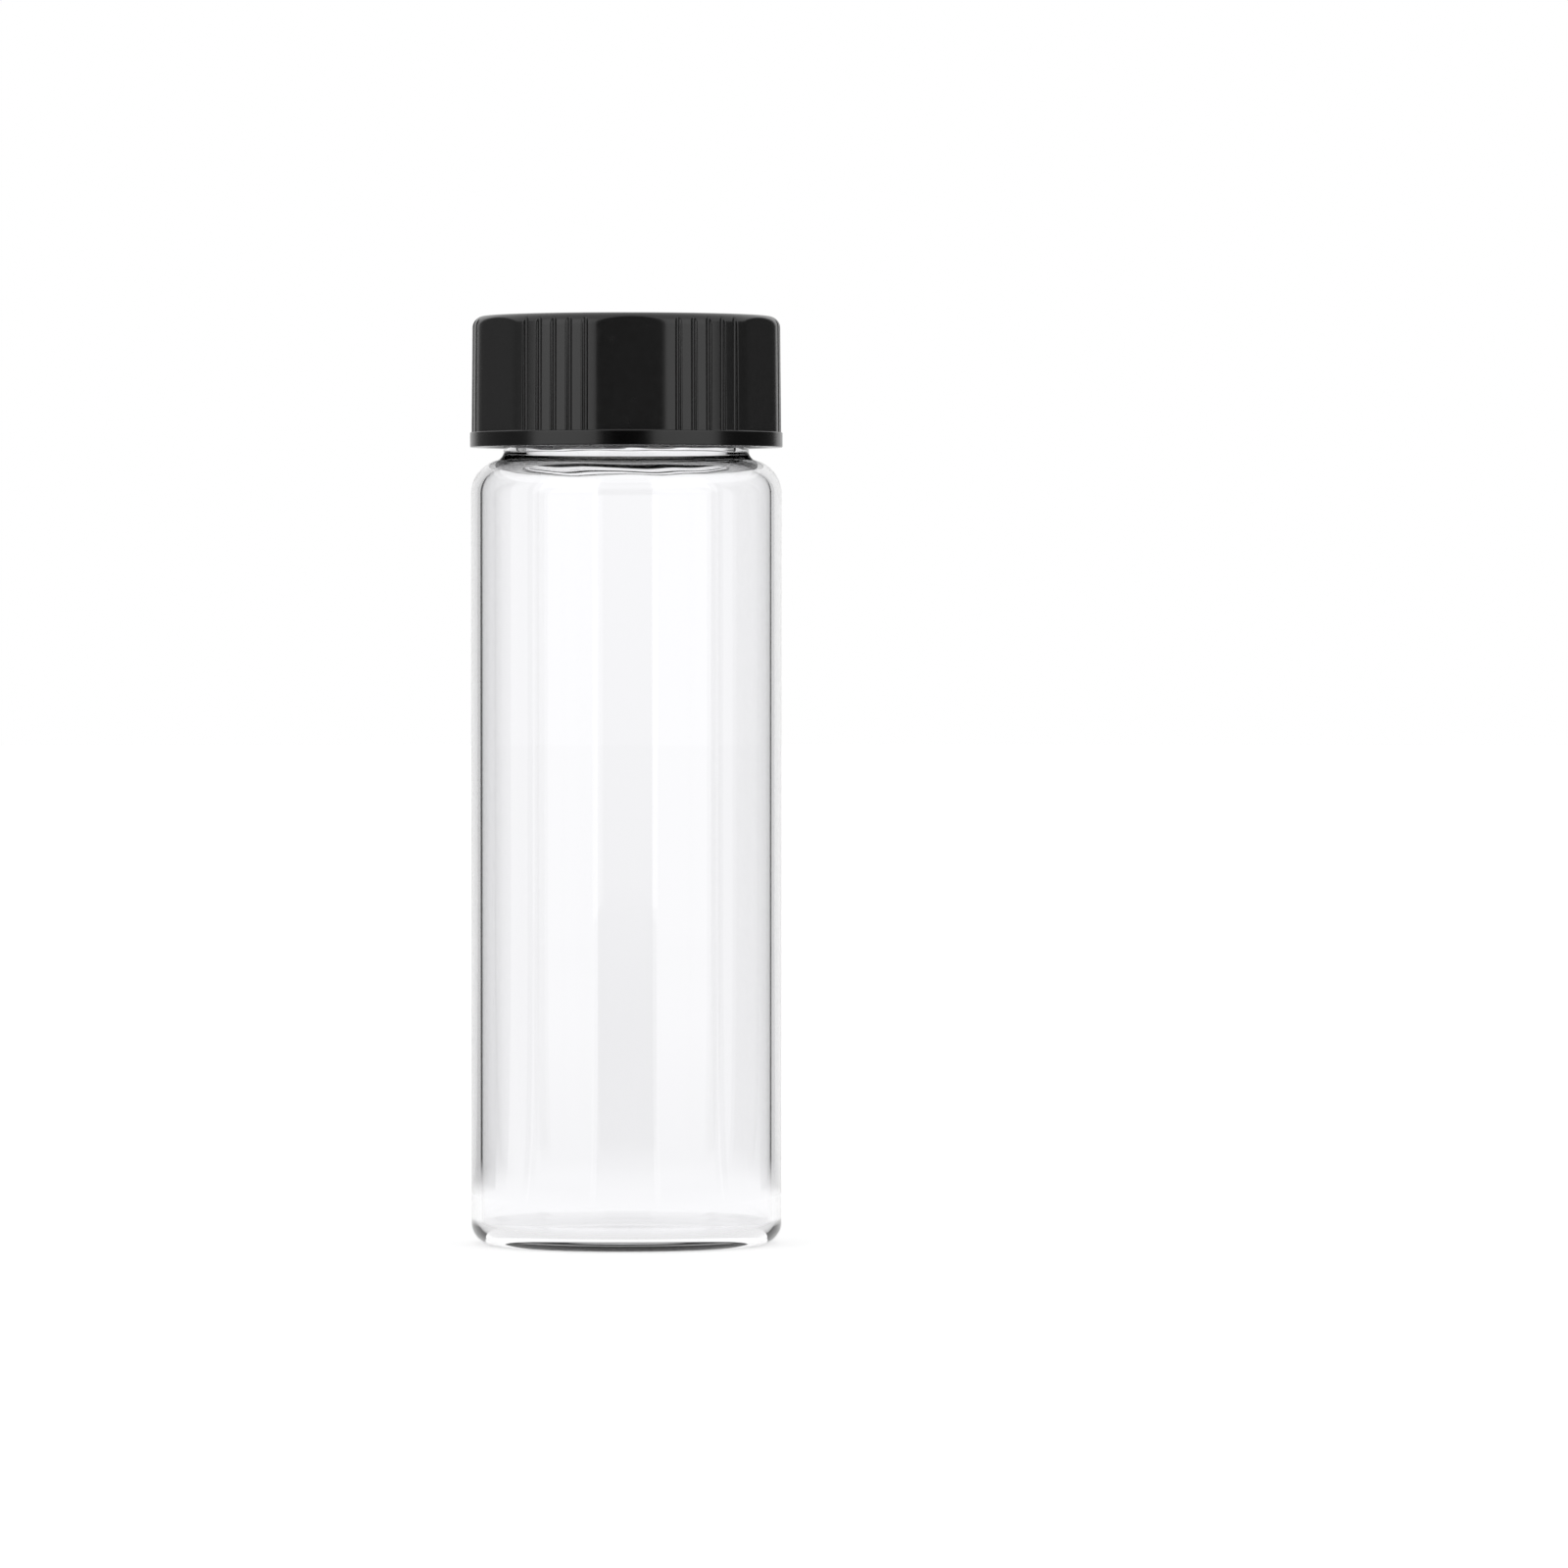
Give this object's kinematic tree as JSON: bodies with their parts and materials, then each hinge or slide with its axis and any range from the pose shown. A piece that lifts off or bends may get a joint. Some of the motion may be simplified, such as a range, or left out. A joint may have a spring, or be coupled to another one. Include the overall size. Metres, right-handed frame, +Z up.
{
  "type": "glass sample vial",
  "caption": "Clear glass screw-thread sample vial with a straight round body, a short neck and a fluted black cap over a foam liner.",
  "frame": {"origin": "centre of the ring that the vial stands on", "axes": "+Z up the vial's axis, through the cap; -Y towards the cap's first flat panel"},
  "size_m": [0.027, 0.027, 0.08],
  "materials": {
    "borosilicate_glass": "clear, fire-polished",
    "black_cap_moulding": "satin black moulding with a polished band",
    "foam_liner": "fine closed-cell foam, matt"
  },
  "bodies": {
    "vial": {"glass_vial": "borosilicate_glass"},
    "liner": {"cap_liner": "foam_liner"},
    "cap": {"screw_cap": "black_cap_moulding"}
  },
  "joints": [
    {"name": "cap_lift", "type": "slide", "parent": "vial", "child": "liner", "axis": [0, 0, 1], "range_m": [0, 0.004]},
    {"name": "cap_turn", "type": "hinge", "parent": "liner", "child": "cap", "pos_m": [0, 0, 0.0786], "axis": [0, 0, 1], "range_deg": [0, 450]}
  ],
  "couplings": [
    {"joint": "cap_lift", "follows": "cap_turn", "m_per_rad": 0.00050532}
  ]
}
